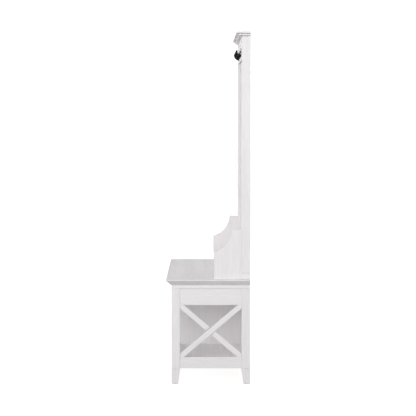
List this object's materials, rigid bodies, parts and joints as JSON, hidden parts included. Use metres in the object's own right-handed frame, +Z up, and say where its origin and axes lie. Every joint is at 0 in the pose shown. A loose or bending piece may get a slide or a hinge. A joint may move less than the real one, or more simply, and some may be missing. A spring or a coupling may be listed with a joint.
{
  "type": "hall tree with hooks",
  "caption": "White hall tree: open bench with two cubbies and crossed end slats, curved arms, grooved back, hook rail with black hooks and a cornice.",
  "frame": {"origin": "centre of the footprint on the floor, midway across the width and the depth", "axes": "+Z up, front of the bench towards -Y, flat rear plane towards +Y, width along X"},
  "size_m": [1, 0.4, 1.676],
  "materials": {
    "laminate_seat": "satin white wood-grain laminate",
    "laminate_board": "satin white wood-grain laminate",
    "laminate_leg": "satin white wood-grain laminate",
    "glide_plastic": "matt grey plastic",
    "laminate_rail": "satin white wood-grain laminate",
    "laminate_brace": "satin white wood-grain laminate",
    "laminate_back": "satin white hardboard",
    "laminate_panel": "satin white grooved board",
    "raw_wood": "planed softwood",
    "dowel_wood": "turned beech",
    "laminate_post": "satin white wood-grain laminate",
    "laminate_cornice": "satin white wood-grain laminate",
    "laminate_arm": "satin white wood-grain laminate",
    "hook_black": "satin black",
    "screw_black": "satin black",
    "zinc_steel": "zinc plated",
    "zinc_cast": "cast zinc",
    "plate_steel": "zinc plated"
  },
  "bodies": {
    "root": {"seat_top": "laminate_seat", "sub_top": "laminate_board", "leg_front_left": "laminate_leg", "leg_front_right": "laminate_leg", "leg_rear_left": "laminate_leg", "leg_rear_right": "laminate_leg", "foot_front_left": "laminate_leg", "foot_front_right": "laminate_leg", "foot_rear_left": "laminate_leg", "foot_rear_right": "laminate_leg", "foot_glides": "glide_plastic", "side_apron_left": "laminate_rail", "side_apron_right": "laminate_rail", "side_rail_left": "laminate_rail", "side_rail_right": "laminate_rail", "brace_long_left": "laminate_brace", "brace_long_right": "laminate_brace", "brace_upper_left": "laminate_brace", "brace_upper_right": "laminate_brace", "brace_lower_left": "laminate_brace", "brace_lower_right": "laminate_brace", "front_apron": "laminate_rail", "front_rail": "laminate_rail", "rear_apron": "laminate_rail", "rear_rail": "laminate_rail", "bench_floor": "laminate_board", "centre_divider": "laminate_board", "bench_back": "laminate_back", "side_cleats": "raw_wood", "long_cleats": "raw_wood", "base_rail": "laminate_rail", "post_left": "laminate_post", "post_right": "laminate_post", "hook_rail": "laminate_rail", "back_panel_left": "laminate_panel", "back_panel_right": "laminate_panel", "back_batten": "laminate_back", "cornice_mould": "laminate_cornice", "cornice_cap": "laminate_cornice", "arm_left": "laminate_arm", "arm_right": "laminate_arm", "hook_1": "hook_black", "hook_2": "hook_black", "hook_3": "hook_black", "hook_screws": "screw_black", "bench_dowels": "dowel_wood", "hutch_dowels": "dowel_wood", "cam_bolts": "zinc_steel", "cam_discs": "zinc_cast", "hanger_bolts": "zinc_steel", "seat_screws": "zinc_steel", "divider_screws": "zinc_steel", "cleat_screws": "zinc_steel", "cornice_screws": "zinc_steel", "joining_plates": "plate_steel", "joining_screws": "zinc_steel", "wall_brackets": "plate_steel", "bracket_screws": "zinc_steel"}
  },
  "joints": []
}
